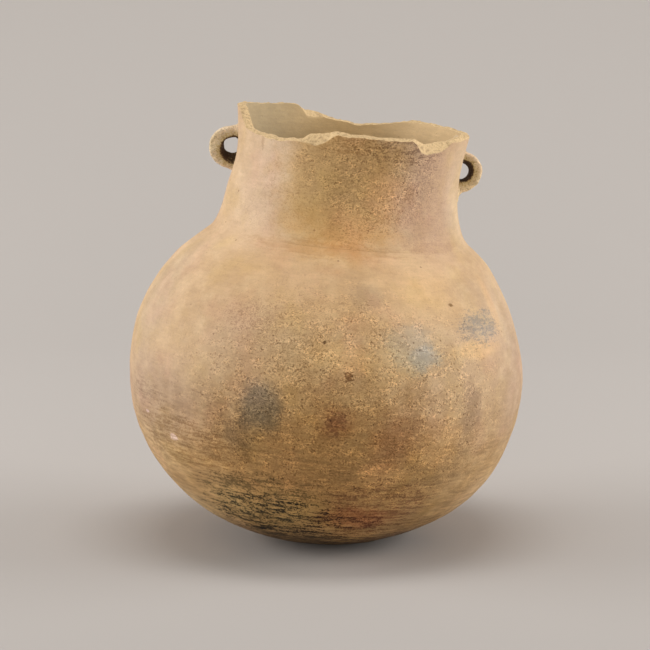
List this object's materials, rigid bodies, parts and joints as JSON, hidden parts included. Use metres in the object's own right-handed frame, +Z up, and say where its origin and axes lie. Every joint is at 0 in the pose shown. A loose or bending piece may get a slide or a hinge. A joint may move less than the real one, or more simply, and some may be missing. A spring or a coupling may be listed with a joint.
{
  "type": "olla",
  "caption": "Hand-built earthenware olla: round-bottomed jar with a wide neck, broken uneven lip and two pierced lug handles, leaning on a worn resting spot.",
  "frame": {"origin": "centre of the worn flat spot that the jar rests on, at the level of the ground", "axes": "+Z up, +X from the front view's left to its right, towards the right-hand lug, -Y out of the front"},
  "size_m": [0.2395, 0.239, 0.2648],
  "materials": {
    "sooted_clay": "wiped earthenware, ochre brown with soot and fire clouds",
    "body_clay": "smoothed earthenware, sand to ochre, with blue-grey and brown fire clouds",
    "neck_clay": "wiped earthenware, pale sand, dark and pitted at the front",
    "lug_clay": "finger-smoothed earthenware, pale sand"
  },
  "bodies": {
    "root": {"base_bowl": "sooted_clay", "lower_belly_wall": "body_clay", "upper_belly_wall": "body_clay", "lower_shoulder_wall": "body_clay", "upper_shoulder_wall": "body_clay", "neck_wall": "neck_clay", "lip_collar": "neck_clay", "left_lug": "lug_clay", "right_lug": "lug_clay"}
  },
  "joints": []
}
